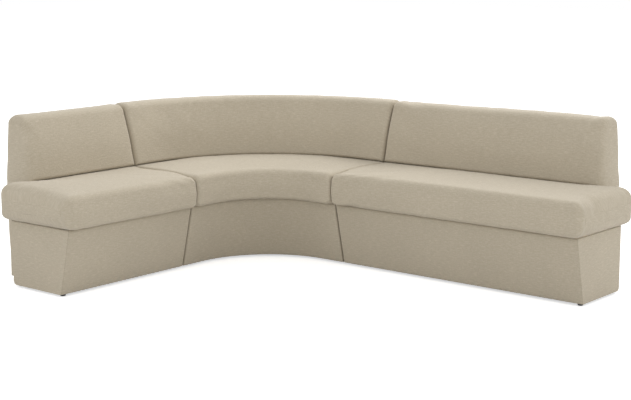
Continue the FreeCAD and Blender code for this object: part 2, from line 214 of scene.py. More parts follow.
@dataclass(frozen=True)
class Section:
    """Section of a soft form: corners in (depth, height), listed from the rear foot towards the front.

    Args:
        corners: the corners where the sides would meet if they were sharp.
        radii: rounding of each corner.
        bows: how far the side after each corner swells out.
        steps: cloth squares along the side after each corner.
        main: the four corners where rear, bottom, front and top meet.
        arc_steps: cloth squares round each corner.
        held: sides, by the corner they start from, that never move in.
        tightening: share of a ring's inset that its corners' radii lose.
    """

    corners: Tuple[Point, ...]
    radii: Tuple[float, ...]
    bows: Tuple[float, ...]
    steps: Tuple[int, ...]
    main: Tuple[int, int, int, int]
    arc_steps: int = 8
    held: Tuple[int, ...] = ()
    tightening: float = 0.55

    def side_of(self, edge: int) -> Side:
        """Side of the form that an edge of the section belongs to.

        Args:
            edge: number of the edge, from the first corner.

        Returns:
            The side.
        """
        for side, start in zip(Side, self.main):
            after = self.main[(side.value + 1) % 4] or len(self.corners)
            if start <= edge < after:
                return side
        return Side.REAR

    def moved_in(self, insets: Dict[Side, float]) -> List[Point]:
        """Corners with each side moved in.

        Args:
            insets: how far each side moves.

        Returns:
            The moved corners.
        """
        lines = []
        count = len(self.corners)
        for index, (d0, z0) in enumerate(self.corners):
            d1, z1 = self.corners[(index + 1) % count]
            length = math.hypot(d1 - d0, z1 - z0)
            out_d, out_z = (z1 - z0) / length, (d0 - d1) / length
            inset = 0.0 if index in self.held else insets[self.side_of(index)]
            lines.append((out_d, out_z, out_d * d0 + out_z * z0 - inset))
        moved = []
        for index, (a1, b1, c1) in enumerate(lines):
            a0, b0, c0 = lines[index - 1]
            det = a0 * b1 - a1 * b0
            moved.append(((c0 * b1 - c1 * b0) / det, (a0 * c1 - a1 * c0) / det))
        return moved

    def ring(self, insets: Dict[Side, float], smallest: float = 0.004) -> List[Point]:
        """Points round the section, from the middle of the rear foot's rounding.

        Args:
            insets: how far each side moves in.
            smallest: least rounding of a corner.

        Returns:
            The points, as many for any insets.
        """
        corners = self.moved_in(insets)
        count = len(corners)
        taken = max(insets.values())
        arcs = []
        for index in range(count):
            radius = max(self.radii[index] - self.tightening * taken, min(smallest, self.radii[index]))
            before, here, after = (Vector(corners[(index + k) % count]) for k in (-1, 0, 1))
            arcs.append(self.arc(before, here, after, radius))
        points: List[Point] = []
        for index in range(count):
            here, following = arcs[index], arcs[(index + 1) % count]
            points.extend(here[1:])
            points.extend(self.swelling(here[-1], following[0], self.bows[index], self.steps[index]))
            points.append(following[0])
        half = self.arc_steps // 2
        return points[half - 1:] + points[:half - 1]

    def arc(self, before: Vector, here: Vector, after: Vector, radius: float) -> List[Vector]:
        """Points of the rounding of one corner, from the side before it to the side after.

        Args:
            before: the corner before it.
            here: the corner itself.
            after: the corner after it.
            radius: radius of the rounding.

        Returns:
            The points, as many for every ring.
        """
        arriving = (here - before).normalized()
        leaving = (after - here).normalized()
        turn = arriving.angle_signed(leaving) * -1
        reach = radius * math.tan(abs(turn) / 2)
        start = here - arriving * reach
        inward = Vector((-arriving.y, arriving.x)) * math.copysign(1, turn)
        centre = start + inward * radius
        spoke = start - centre
        points = []
        for step in range(self.arc_steps + 1):
            angle = turn * step / self.arc_steps
            cos, sin = math.cos(angle), math.sin(angle)
            points.append(centre + Vector((spoke.x * cos - spoke.y * sin, spoke.x * sin + spoke.y * cos)))
        return points

    @staticmethod
    def swelling(start: Vector, end: Vector, bow: float, steps: int) -> List[Vector]:
        """Points between two roundings, swollen out in the middle.

        Args:
            start: last point of one rounding.
            end: first point of the next.
            bow: most that the side swells.
            steps: squares between them.

        Returns:
            The points in between, without the two ends.
        """
        along = end - start
        out = Vector((along.y, -along.x)).normalized()
        points = []
        for step in range(1, steps):
            share = step / steps
            points.append(start + along * share + out * bow * math.sin(math.pi * share) ** 2)
        return points

    def chain_lengths(self) -> Tuple[int, int]:
        """Cloth squares across and up the end of a form, which its end grid takes.

        Returns:
            The two counts.
        """
        counts = []
        for side in Side:
            start = self.main[side.value]
            after = self.main[(side.value + 1) % 4] or len(self.corners)
            inner = after - start - 1
            counts.append(sum(self.steps[start:after]) + self.arc_steps * (inner + 1))
        if counts[0] != counts[2] or counts[1] != counts[3]:
            raise ValueError(f"opposite sides differ in steps: {counts}")
        return counts[0], counts[1]


@dataclass(frozen=True)
class EndRounding:
    """How one end of a soft form is rounded.

    Args:
        bottom: rounding to the underside.
        front: rounding to the front.
        top: rounding to the top.
        rear: rounding to the rear.
        bow: how far the end face swells out.
        stitched: depth of a sewn line in the middle of the rounding.
        steps: rings over the rounding.
    """

    bottom: float
    front: float
    top: float
    rear: float
    bow: float = 0.0
    stitched: float = 0.0
    steps: int = 10

    @property
    def largest(self) -> float:
        """Largest rounding of the end."""
        return max(self.bottom, self.front, self.top, self.rear)

    def insets(self, from_end: float) -> Dict[Side, float]:
        """How far each side has moved in at a distance from the end.

        Args:
            from_end: distance from the end.

        Returns:
            The inset of each side.
        """
        radii = {Side.BOTTOM: self.bottom, Side.FRONT: self.front, Side.TOP: self.top, Side.REAR: self.rear}
        found = {}
        for side, radius in radii.items():
            left = max(0.0, radius - from_end)
            found[side] = radius - math.sqrt(max(0.0, radius * radius - left * left))
        return found

    def stations(self) -> List[Tuple[float, Dict[Side, float]]]:
        """Distances from the end at which the form has a ring, nearest first, with the ring's insets.

        Returns:
            Each distance with its insets.
        """
        found = []
        for step in range(self.steps + 1):
            away = self.largest * (1 - math.cos(math.pi / 2 * step / self.steps))
            sewn = self.stitched if step == self.steps // 2 else 0.0
            found.append((away, {side: inset + sewn for side, inset in self.insets(away).items()}))
        return found


@dataclass
class SoftForm:
    """A closed cloth-covered form swept along a run.

    Args:
        name: name of the piece.
        run: line that it follows.
        section: its section.
        start: where it starts along the run.
        end: where it ends along the run.
        first: rounding of its start.
        last: rounding of its end.
        step: spacing of its rings.
        shape: moves a point in (along, depth, height) for the form's own shaping.
        spread: power that spreads the swell of an end, flatter in its middle the smaller it is.
    """

    name: str
    run: Run
    section: Section
    start: float
    end: float
    first: EndRounding
    last: EndRounding
    step: float = 0.016
    shape: Optional[Callable[[float, float, float], Place]] = None
    spread: float = 0.7

    def station_list(self) -> List[Tuple[float, Dict[Side, float]]]:
        """Every ring's place along the run with its insets.

        Returns:
            The places with their insets, in order.
        """
        found = [(self.start + away, insets) for away, insets in self.first.stations()]
        low, high = self.start + self.first.largest, self.end - self.last.largest
        count = max(2, round((high - low) / self.step))
        none = {side: 0.0 for side in Side}
        found += [(low + (high - low) * index / count, none) for index in range(1, count)]
        return found + [(self.end - away, insets) for away, insets in reversed(self.last.stations())]

    def build(self) -> bpy.types.Object:
        """Makes the mesh, with cloth coordinates in metres on its faces.

        Returns:
            The new object.
        """
        across, up = self.section.chain_lengths()
        mesh = bmesh.new()
        cloth = mesh.loops.layers.uv.new("cloth")
        rows = []
        places = {}
        for along, insets in self.station_list():
            row = []
            for depth, height in self.section.ring(insets):
                row.append(self.add_point(mesh, places, along, depth, height))
            rows.append(row)
        girth = [0.0]
        middle = rows[len(rows) // 2]
        count = len(middle)
        for index in range(count):
            girth.append(girth[-1] + (middle[(index + 1) % count].co - middle[index].co).length)
        for before, after in zip(rows, rows[1:]):
            for index in range(count):
                following = (index + 1) % count
                corners = (before[index], before[following], after[following], after[index])
                ends = (girth[index], girth[index + 1], girth[index + 1], girth[index])
                face = mesh.faces.new(corners)
                for loop, around in zip(face.loops, ends):
                    along, depth, _ = places[loop.vert]
                    loop[cloth].uv = (self.run.cloth_length(along, depth), around)
        for row, rounding, outward in ((rows[0], self.first, -1), (rows[-1], self.last, 1)):
            self.close_end(mesh, cloth, places, row, across, up, rounding.bow * outward)
        bmesh.ops.recalc_face_normals(mesh, faces=mesh.faces)
        data = bpy.data.meshes.new(self.name)
        mesh.to_mesh(data)
        mesh.free()
        data.polygons.foreach_set("use_smooth", [True] * len(data.polygons))
        piece = bpy.data.objects.new(self.name, data)
        bpy.context.scene.collection.objects.link(piece)
        return piece

    def add_point(self, mesh: bmesh.types.BMesh, places: Dict, along: float, depth: float,
                  height: float) -> bmesh.types.BMVert:
        """Adds one point of the form, after its own shaping.

        Args:
            mesh: the mesh that is being made.
            places: each vertex's place in the run's terms.
            along: place along the run.
            depth: place in from the rear.
            height: place over the floor.

        Returns:
            The new vertex.
        """
        if self.shape:
            along, depth, height = self.shape(along, depth, height)
        point = mesh.verts.new(self.run.place(along, depth, height))
        places[point] = (along, depth, height)
        return point

    def close_end(self, mesh: bmesh.types.BMesh, cloth: object, places: Dict,
                  row: Sequence[bmesh.types.BMVert], across: int, up: int, bow: float) -> None:
        """Closes an end with a grid of cloth squares, swollen out by bow.

        Args:
            mesh: the mesh that is being made.
            cloth: layer of cloth coordinates.
            places: each vertex's place in the run's terms.
            row: vertices of the last ring.
            across: squares from rear to front.
            up: squares from bottom to top.
            bow: how far the middle swells out, with its sign.
        """
        bottom = [row[index] for index in range(across + 1)]
        front = [row[across + index] for index in range(up + 1)]
        top = [row[(2 * across + up - index) % len(row)] for index in range(across + 1)]
        rear = [row[-index] for index in range(up + 1)]
        sides = (bottom, top, rear, front)
        grid = [rear]
        for i in range(1, across):
            inner = [self.inner_point(mesh, places, sides, i / across, j / up, bow) for j in range(1, up)]
            grid.append([bottom[i], *inner, top[i]])
        grid.append(front)
        for i in range(across):
            for j in range(up):
                face = mesh.faces.new((grid[i][j], grid[i + 1][j], grid[i + 1][j + 1], grid[i][j + 1]))
                for loop in face.loops:
                    _, depth, height = places[loop.vert]
                    loop[cloth].uv = (depth, height)

    def inner_point(self, mesh: bmesh.types.BMesh, places: Dict, sides: Sequence[Sequence], s: float, t: float,
                    bow: float) -> bmesh.types.BMVert:
        """Point inside an end grid, blended from the four sides.

        Args:
            mesh: the mesh that is being made.
            places: each vertex's place in the run's terms.
            sides: vertices at the bottom, top, rear and front of the grid.
            s: share of the way from rear to front.
            t: share of the way from bottom to top.
            bow: how far the middle swells out.

        Returns:
            The new vertex.
        """
        bottom, top, rear, front = sides
        across, up = len(bottom) - 1, len(rear) - 1
        i, j = round(s * across), round(t * up)

        def at(vert: bmesh.types.BMVert) -> Vector:
            """Place of a vertex along, in depth and in height."""
            return Vector(places[vert])

        blend = at(bottom[i]) * (1 - t) + at(top[i]) * t + at(rear[j]) * (1 - s) + at(front[j]) * s
        blend -= at(bottom[0]) * (1 - s) * (1 - t) + at(bottom[-1]) * s * (1 - t)
        blend -= at(top[0]) * (1 - s) * t + at(top[-1]) * s * t
        swell = bow * (math.sin(math.pi * s) * math.sin(math.pi * t)) ** self.spread
        along, depth, height = blend.x + swell, blend.y, blend.z
        point = mesh.verts.new(self.run.place(along, depth, height))
        places[point] = (along, depth, height)
        return point


@dataclass(frozen=True)
class Contact:
    """The faces that a soft form rests on or is bolted against, where it stays flat.

    Args:
        start: place of the module's face at its first seam.
        end: place of its last face.
        floor: lowest height over what carries it.
        rear: least depth.
        floor_depth: depth up to which it is carried.
        floor_end: place along the leg up to which it is carried.
        shelf: depth of the front of what lies over it.
        shelf_end: place along the leg where the shelf ends.
        heel: how much less the depth may be beyond the shelf's end.
        ceiling: most height behind the shelf's front.
        foot: most depth below foot_top.
        foot_top: height of the foot.
        seam_last: whether the end is a seam.
        reach: how near a point counts as resting.
        foot_reach: how near the front of the foot a point counts as part of it.
    """

    start: float
    end: float
    floor: float
    rear: float
    floor_depth: float = FAR
    floor_end: float = FAR
    shelf: float = 0.0
    shelf_end: float = FAR
    heel: float = 0.0
    ceiling: float = FAR
    foot: float = FAR
    foot_top: float = 0.0
    seam_last: bool = False
    reach: float = 0.0012
    foot_reach: float = 0.02

    def keep(self, along: float, depth: float, height: float) -> Place:
        """Moves a point back to the faces that it may not pass.

        Args:
            along: place along the run.
            depth: place in from the rear.
            height: place over the floor.

        Returns:
            The point, moved if it had to be.
        """
        along = max(along, self.start)
        if self.seam_last:
            along = min(along, self.end)
        if self.carried(along, depth):
            height = max(height, self.floor)
        if along < self.shelf_end:
            depth = max(depth, self.rear)
            if depth < self.shelf:
                height = min(height, self.ceiling)
        else:
            depth = max(depth, self.rear - self.heel)
        if height < self.foot_top:
            depth = min(depth, self.foot)
        return along, depth, height

    def rests(self, along: float, depth: float, height: float) -> bool:
        """Whether a point lies on one of these faces.

        Args:
            along: place along the run.
            depth: place in from the rear.
            height: place over the floor.

        Returns:
            True if it rests on one.
        """
        near = self.reach
        at_seam = along < self.start + near or (self.seam_last and along > self.end - near)
        on_foot = height < self.foot_top + near and depth > self.foot - self.foot_reach
        on_floor = self.carried(along, depth) and height < self.floor + near
        return at_seam or on_foot or on_floor or depth < self.rear + near

    def carried(self, along: float, depth: float) -> bool:
        """Whether something carries the form at a place."""
        return depth < self.floor_depth and along < self.floor_end


@dataclass(frozen=True)
class Filling:
    """How the cover of a soft form swells.

    Args:
        follow: share of the cover's movement that the foam under it lets through.
        spare: share by which the cover is cut larger than the filling.
        pressure: push of the filling on the cover.
        cap: furthest that any point may move.
        frames: steps of the simulation.
        unevenness: height of the filling's soft bumps.
    """

    follow: float
    spare: float
    pressure: float = 4.0
    cap: float = 0.012
    frames: int = 20
    unevenness: float = 0.0012


@dataclass
class Swelling:
    """Simulates the covers of all soft forms together.

    Args:
        seed: where the unevenness of the filling starts.
        bumps: how close its soft bumps lie.
        finer: how much closer the finer bumps on them lie.
        finer_share: height of the finer bumps as a share of the others.
        forms: the pieces that swell.
    """

    seed: float = 3.7
    bumps: float = 7.0
    finer: float = 2.3
    finer_share: float = 0.5
    forms: List[Tuple[bpy.types.Object, Run, Contact, Filling]] = field(default_factory=list)

    def add(self, piece: bpy.types.Object, run: Run, contact: Contact, filling: Filling) -> None:
        """Puts one more piece in the simulation."""
        self.forms.append((piece, run, contact, filling))

    def run(self) -> None:
        """Swells every piece and writes its new shape into its mesh."""
        for piece, run, contact, filling in self.forms:
            self.roughen(piece, run, contact, filling)
        self.simulate()
        for piece, run, contact, filling in self.forms:
            self.settle(piece, run, contact)
            apply_modifier(piece, "SUBSURF", levels=1, render_levels=1, uv_smooth="PRESERVE_BOUNDARIES")

    def roughen(self, piece: bpy.types.Object, run: Run, contact: Contact, filling: Filling) -> None:
        """Gives the filling its slight unevenness before it swells.

        Args:
            piece: the form's object.
            run: the line that it follows.
            contact: the faces that it rests on.
            filling: what fills it.
        """
        data = piece.data
        for point in data.vertices:
            if contact.rests(*run.locate(point.co)):
                continue
            spot = point.co * self.bumps + Vector((self.seed, -self.seed, 2 * self.seed))
            rise = noise.noise(spot) + self.finer_share * noise.noise(spot * self.finer)
            point.co += point.normal * rise * filling.unevenness

    def simulate(self) -> None:
        """Runs the cloth of every piece over the same frames."""
        scene = bpy.context.scene
        frames = max(filling.frames for _, _, _, filling in self.forms)
        before = {}
        for piece, run, contact, filling in self.forms:
            before[piece.name] = [point.co.copy() for point in piece.data.vertices]
            self.add_cloth(piece, run, contact, filling)
        for frame_number in range(1, frames + 1):
            scene.frame_set(frame_number)
        graph = bpy.context.evaluated_depsgraph_get()
        for piece, _, _, filling in self.forms:
            swollen = piece.evaluated_get(graph).data
            moved = [point.co.copy() for point in swollen.vertices]
            piece.modifiers.clear()
            for point, old, new in zip(piece.data.vertices, before[piece.name], moved):
                step = (new - old) * filling.follow
                if step.length > filling.cap:
                    step *= filling.cap / step.length
                point.co = old + step
        scene.frame_set(1)

    @staticmethod
    def add_cloth(piece: bpy.types.Object, run: Run, contact: Contact, filling: Filling) -> None:
        """Adds the cloth, held where the form rests.

        Args:
            piece: the form's object.
            run: the line that it follows.
            contact: the faces that it rests on.
            filling: what fills it.
        """
        held = piece.vertex_groups.new(name="held")
        indices = [p.index for p in piece.data.vertices if contact.rests(*run.locate(p.co))]
        held.add(indices, 1.0, "REPLACE")
        cloth = piece.modifiers.new("cover", "CLOTH")
        settings = cloth.settings
        stiffness = {"tension": (18, 12), "compression": (12, 12), "shear": (8, 10), "bending": (0.8, 1.0)}
        for kind, (stiff, damped) in stiffness.items():
            setattr(settings, kind + "_stiffness", stiff)
            setattr(settings, kind + "_damping", damped)
        settings.quality = 6
        settings.mass = 0.35
        settings.use_pressure = True
        settings.uniform_pressure_force = filling.pressure
        settings.shrink_min = -filling.spare
        settings.shrink_max = -filling.spare
        settings.vertex_group_mass = held.name
        settings.effector_weights.gravity = 0.0
        cloth.collision_settings.use_collision = False
        cloth.point_cache.frame_start = 1
        cloth.point_cache.frame_end = filling.frames

    @staticmethod
    def settle(piece: bpy.types.Object, run: Run, contact: Contact) -> None:
        """Moves points back to the faces that the form rests on.

        Args:
            piece: the form's object.
            run: the line that it follows.
            contact: the faces that it rests on.
        """
        for point in piece.data.vertices:
            along, depth, height = run.locate(point.co)
            kept = contact.keep(along, depth, height)
            if kept != (along, depth, height):
                point.co = run.place(*kept)
        piece.vertex_groups.clear()


def apply_modifier(piece: bpy.types.Object, kind: str, **settings: object) -> None:
    """Adds a modifier to a piece and writes its result into the piece's mesh.

    Args:
        piece: the piece.
        kind: the modifier's type.
        settings: values of its properties.
    """
    modifier = piece.modifiers.new(kind.lower(), kind)
    for name, value in settings.items():
        setattr(modifier, name, value)
    graph = bpy.context.evaluated_depsgraph_get()
    made = bpy.data.meshes.new_from_object(piece.evaluated_get(graph), depsgraph=graph)
    piece.modifiers.clear()
    old = piece.data
    piece.data = made
    bpy.data.meshes.remove(old)
    made.name = piece.name


class Shader:
    """Adds and links the nodes of one material."""

    def __init__(self, name: str) -> None:
        """Starts a material with an empty node tree.

        Args:
            name: the material's name.
        """
        self.material = bpy.data.materials.new(name)
        self.material.use_nodes = True
        self.tree = self.material.node_tree
        self.tree.nodes.clear()
        self.output = self.node("OutputMaterial")

    def node(self, kind: str, **settings: object) -> bpy.types.Node:
        """Adds a node and sets its properties.

        Args:
            kind: the node's type without its first word.
            settings: values of the node's properties.

        Returns:
            The node.
        """
        made = self.tree.nodes.new("ShaderNode" + kind)
        for name, value in settings.items():
            setattr(made, name, value)
        return made

    def join(self, source: bpy.types.NodeSocket, target: bpy.types.NodeSocket) -> None:
        """Links two sockets."""
        self.tree.links.new(source, target)

    def feed(self, value: object, target: bpy.types.NodeSocket) -> None:
        """Links a socket to another, or sets it to a number or a colour.

        Args:
            value: what is given.
            target: the socket that takes it.
        """
        if isinstance(value, bpy.types.NodeSocket):
            self.join(value, target)
        else:
            target.default_value = (*value, 1.0) if isinstance(value, tuple) else value

    def math(self, operation: str, first: object, second: object = 0.0) -> bpy.types.NodeSocket:
        """Result of a math node.

        Args:
            operation: what the node does.
            first: a socket or a number.
            second: a socket or a number.

        Returns:
            The node's value.
        """
        made = self.node("Math", operation=operation)
        for socket, value in zip(made.inputs, (first, second)):
            self.feed(value, socket)
        return made.outputs[0]

    def scaled(self, vector: bpy.types.NodeSocket, scale: Place) -> bpy.types.NodeSocket:
        """A vector stretched by a scale.

        Args:
            vector: the vector.
            scale: factor of each part.

        Returns:
            The stretched vector.
        """
        made = self.node("Mapping")
        made.inputs["Scale"].default_value = scale
        self.join(vector, made.inputs["Vector"])
        return made.outputs[0]

    def noise(self, vector: bpy.types.NodeSocket, scale: float, detail: float = 2.0,
              roughness: float = 0.5) -> bpy.types.NodeSocket:
        """Strength of a noise, about one half on average.

        Args:
            vector: where it is read.
            scale: how fine it is.
            detail: how many finer layers it has.
            roughness: how strong these are.

        Returns:
            The strength.
        """
        made = self.node("TexNoise")
        self.join(vector, made.inputs["Vector"])
        made.inputs["Scale"].default_value = scale
        made.inputs["Detail"].default_value = detail
        made.inputs["Roughness"].default_value = roughness
        return made.outputs[0]

    def ramp(self, value: bpy.types.NodeSocket, low: float, high: float, to_low: float = 0.0,
             to_high: float = 1.0) -> bpy.types.NodeSocket:
        """A value read between low and high and given back between two others.

        Args:
            value: the value.
            low: what reads as to_low.
            high: what reads as to_high.
            to_low: lowest result.
            to_high: highest result.

        Returns:
            The result, kept between the two.
        """
        made = self.node("MapRange")
        self.join(value, made.inputs["Value"])
        made.inputs["From Min"].default_value = low
        made.inputs["From Max"].default_value = high
        made.inputs["To Min"].default_value = to_low
        made.inputs["To Max"].default_value = to_high
        return made.outputs[0]

    def mix(self, share: object, first: object, second: object, blend: str = "MIX") -> bpy.types.NodeSocket:
        """Mixes two colours.

        Args:
            share: how much of the second, as a socket or a number.
            first: a socket or a colour.
            second: a socket or a colour.
            blend: how they mix.

        Returns:
            The mixed colour.
        """
        made = self.node("Mix", data_type="RGBA", blend_type=blend)
        for index, value in ((0, share), (6, first), (7, second)):
            self.feed(value, made.inputs[index])
        return made.outputs[2]

    def bump(self, height: bpy.types.NodeSocket, distance: float, strength: float = 1.0,
             after: Optional[bpy.types.NodeSocket] = None) -> bpy.types.NodeSocket:
        """Normal of a surface raised by a height, on top of another bump.

        Args:
            height: the height as a share.
            distance: height of a whole share, in metres.
            strength: how much of it shows.
            after: normal of the bump below it, if any.

        Returns:
            The normal.
        """
        made = self.node("Bump")
        made.inputs["Strength"].default_value = strength
        made.inputs["Distance"].default_value = distance
        self.join(height, made.inputs["Height"])
        if after is not None:
            self.join(after, made.inputs["Normal"])
        return made.outputs[0]

    def surface(self, colour: bpy.types.NodeSocket, roughness: bpy.types.NodeSocket,
                normal: bpy.types.NodeSocket, **plain: object) -> bpy.types.Material:
        """Ends the material with its surface.

        Args:
            colour: its colour.
            roughness: its roughness.
            normal: its bumped normal.
            plain: values that are the same all over, by the shader's socket.

        Returns:
            The material.
        """
        made = self.node("BsdfPrincipled")
        self.join(colour, made.inputs["Base Color"])
        self.join(roughness, made.inputs["Roughness"])
        self.join(normal, made.inputs["Normal"])
        for name, value in plain.items():
            made.inputs[name.replace("_", " ")].default_value = value
        self.join(made.outputs[0], self.output.inputs["Surface"])
        return self.material


@dataclass(frozen=True)
class WovenFabric:
    """Matt slub-weave upholstery fabric.

    Args:
        name: name of the finish.
        colour: its colour.
        dark: colour between the yarns.
        pale: colour of the thick pale yarns.
        yarn: distance between yarns.
        slub_length: length of a thick stretch of yarn.
        slub_height: height of a thick stretch of yarn.
        mottle: fine cloudy spots across a metre.
        specks: pale specks across a metre.
        patches: wide, faint patches across a metre.
        relief_height: height of the slubs and spots.
        weave_height: height of the weave.
    """

    name: str
    colour: Colour
    dark: Colour
    pale: Colour
    yarn: float = 0.0022
    slub_length: float = 0.030
    slub_height: float = 0.0045
    mottle: float = 120.0
    specks: float = 260.0
    patches: float = 3.2
    relief_height: float = 0.0022
    weave_height: float = 0.0005

    def material(self) -> bpy.types.Material:
        """Makes the fabric from its cloth coordinates, which are in metres.

        Returns:
            The material.
        """
        shader = Shader(self.name)
        cloth = shader.node("UVMap", uv_map="cloth").outputs[0]
        parts = shader.node("SeparateXYZ")
        shader.join(cloth, parts.inputs[0])
        turn = 2 * math.pi / self.yarn
        across = shader.math("SINE", shader.math("MULTIPLY", parts.outputs[0], turn))
        around = shader.math("SINE", shader.math("MULTIPLY", parts.outputs[1], turn))
        weave = shader.math("MULTIPLY_ADD", shader.math("MULTIPLY", across, around), 0.5)
        weave.node.inputs[2].default_value = 0.5
        long, thick = 1 / self.slub_length, 1 / self.slub_height
        slubs = shader.noise(shader.scaled(cloth, (long, thick, 1)), 1.0, 2.0, 0.6)
        yarns = shader.noise(shader.scaled(cloth, (thick, long, 1)), 1.0, 2.0, 0.6)
        mottle = shader.noise(cloth, self.mottle, 3.0, 0.65)
        specks = shader.noise(cloth, self.specks, 1.0, 0.5)
        wide = shader.noise(cloth, self.patches, 2.0, 0.5)
        tone = shader.mix(shader.ramp(mottle, 0.34, 0.66, 0.36, 0.94), self.dark, self.colour)
        layers = (
            (slubs, (0.52, 0.74, 0.0, 0.48), self.pale),
            (slubs, (0.30, 0.46, 0.42, 0.0), self.dark),
            (yarns, (0.56, 0.78, 0.0, 0.26), self.dark),
            (weave, (0.0, 0.5, 0.22, 0.0), self.dark),
            (specks, (0.70, 0.76, 0.0, 0.6), self.pale),
        )
        for value, limits, colour in layers:
            tone = shader.mix(shader.ramp(value, *limits), tone, colour)
        shade = shader.ramp(wide, 0.35, 0.65, 0.982, 1.012)
        grey = shader.node("CombineColor")
        for socket in grey.inputs[:3]:
            shader.join(shade, socket)
        tone = shader.mix(1.0, tone, grey.outputs[0], "MULTIPLY")
        relief = shader.math("ADD", shader.math("MULTIPLY", slubs, 0.8), shader.math("MULTIPLY", mottle, 0.8))
        normal = shader.bump(relief, self.relief_height, 0.55)
        normal = shader.bump(weave, self.weave_height, 0.35, normal)
        roughness = shader.ramp(mottle, 0.3, 0.7, 0.88, 0.98)
        return shader.surface(tone, roughness, normal, Sheen_Weight=0.18, Sheen_Roughness=0.55,
                              Specular_IOR_Level=0.18)


@dataclass(frozen=True)
class WoodFinish:
    """Bare wood, with plies on its edges where it is plywood.

    Args:
        name: name of the finish.
        light: colour of the early wood.
        dark: colour of the late wood.
        ply: thickness of a ply, or none for solid wood.
        grain: lines of grain across a metre.
        grain_along: how often they change along a metre.
        pores: pores across a metre.
        pores_along: pores along a metre.
        relief: height of grain and pores.
    """

    name: str
    light: Colour
    dark: Colour
    ply: float = 0.0
    grain: float = 160.0
    grain_along: float = 6.0
    pores: float = 900.0
    pores_along: float = 40.0
    relief: float = 0.0006

    def material(self) -> bpy.types.Material:
        """Makes the wood from the piece's own coordinates.

        Returns:
            The material.
        """
        shader = Shader(self.name)
        place = shader.node("TexCoord").outputs["Object"]
        lines = shader.noise(shader.scaled(place, (self.grain, self.grain_along, self.grain)), 1.0, 4.0, 0.6)
        pores = shader.noise(shader.scaled(place, (self.pores, self.pores_along, self.pores)), 1.0, 2.0, 0.5)
        tone = shader.mix(shader.ramp(lines, 0.35, 0.68), self.light, self.dark)
        if self.ply:
            parts = shader.node("SeparateXYZ")
            shader.join(place, parts.inputs[0])
            plies = shader.math("SINE", shader.math("MULTIPLY", parts.outputs[2], math.pi / self.ply))
            tone = shader.mix(shader.ramp(plies, 0.0, 0.4, 0.0, 0.25), tone, self.dark)
        tone = shader.mix(shader.ramp(pores, 0.60, 0.74, 0.0, 0.4), tone, self.dark)
        normal = shader.bump(shader.math("ADD", lines, pores), self.relief, 0.5)
        return shader.surface(tone, shader.ramp(lines, 0.3, 0.7, 0.55, 0.75), normal, Specular_IOR_Level=0.3)


@dataclass(frozen=True)
class SpeckledFinish:
    """Even material with fine specks, such as moulded plastic, fibreboard, lining or plated steel.

    Args:
        name: name of the finish.
        colour: its colour.
        speck: colour of its specks.
        scale: specks across a metre.
        roughness: its least and most roughness.
        metallic: one for a metal.
        depth: height of its grain.
        streak: how much longer the specks are one way.
        worn: worn patches across a metre.
    """

    name: str
    colour: Colour
    speck: Colour
    scale: float
    roughness: Tuple[float, float]
    metallic: float = 0.0
    depth: float = 0.0002
    streak: float = 1.0
    worn: float = 14.0

    def material(self) -> bpy.types.Material:
        """Makes the finish from the piece's own coordinates.

        Returns:
            The material.
        """
        shader = Shader(self.name)
        place = shader.node("TexCoord").outputs["Object"]
        stretched = shader.scaled(place, (self.scale, self.scale / self.streak, self.scale))
        grain = shader.noise(stretched, 1.0, 3.0, 0.6)
        wear = shader.noise(place, self.worn, 3.0, 0.6)
        tone = shader.mix(shader.ramp(grain, 0.42, 0.7), self.colour, self.speck)
        tone = shader.mix(shader.ramp(wear, 0.45, 0.8, 0.0, 0.3), tone, self.speck)
        normal = shader.bump(grain, self.depth, 0.6)
        return shader.surface(tone, shader.ramp(wear, 0.3, 0.7, *self.roughness), normal, Metallic=self.metallic)


@dataclass
class Finishes:
    """Every finish of the sofa, and the slot that each one dresses.

    Args:
        upholstery: the fabric of all covers.
        made: the materials by slot, once they are made.
    """

    upholstery: WovenFabric = WovenFabric("beige_slub_weave", (0.500, 0.440, 0.342), (0.405, 0.352, 0.262),
                                          (0.630, 0.566, 0.460))
    made: Dict[str, bpy.types.Material] = field(default_factory=dict)

    def make(self) -> None:
        """Makes one material for each slot of the record."""
        finishes = {
            "upholstery_fabric": self.upholstery,
            "black_lining": SpeckledFinish("spunbond_lining", (0.018, 0.018, 0.020), (0.050, 0.050, 0.054),
                                           700.0, (0.85, 0.95)),
            "cushion_foam": SpeckledFinish("open_cell_foam", (0.78, 0.72, 0.52), (0.62, 0.55, 0.36),
                                           420.0, (0.90, 0.98), depth=0.0008),
            "frame_timber": WoodFinish("pine_timber", (0.62, 0.43, 0.24), (0.42, 0.25, 0.12)),
            "hardboard": SpeckledFinish("pressed_hardboard", (0.26, 0.15, 0.075), (0.36, 0.22, 0.12),
                                        500.0, (0.60, 0.80)),
            "plywood": WoodFinish("birch_plywood", (0.70, 0.55, 0.37), (0.52, 0.37, 0.22), ply=0.003),
            "glide_plastic": SpeckledFinish("moulded_glide_plastic", (0.016, 0.016, 0.017), (0.045, 0.045, 0.047),
                                            900.0, (0.40, 0.60)),
            "zinc_steel": SpeckledFinish("zinc_plated_steel", (0.60, 0.61, 0.60), (0.46, 0.46, 0.44),
                                         300.0, (0.28, 0.45), metallic=1.0, streak=6.0),
        }
        for slot_name, finish in finishes.items():
            self.made[slot_name] = finish.material()

    def dress_frame(self, nodes: Dict[str, bpy.types.Object]) -> None:
        """Gives every carried-over CAD node its finish.

        Args:
            nodes: the CAD's pieces by name.
        """
        for node in nodes.values():
            for slot_index, old in enumerate(node.data.materials):
                node.material_slots[slot_index].link = "OBJECT"
                node.material_slots[slot_index].material = self.made[old.name.split(".")[0]]


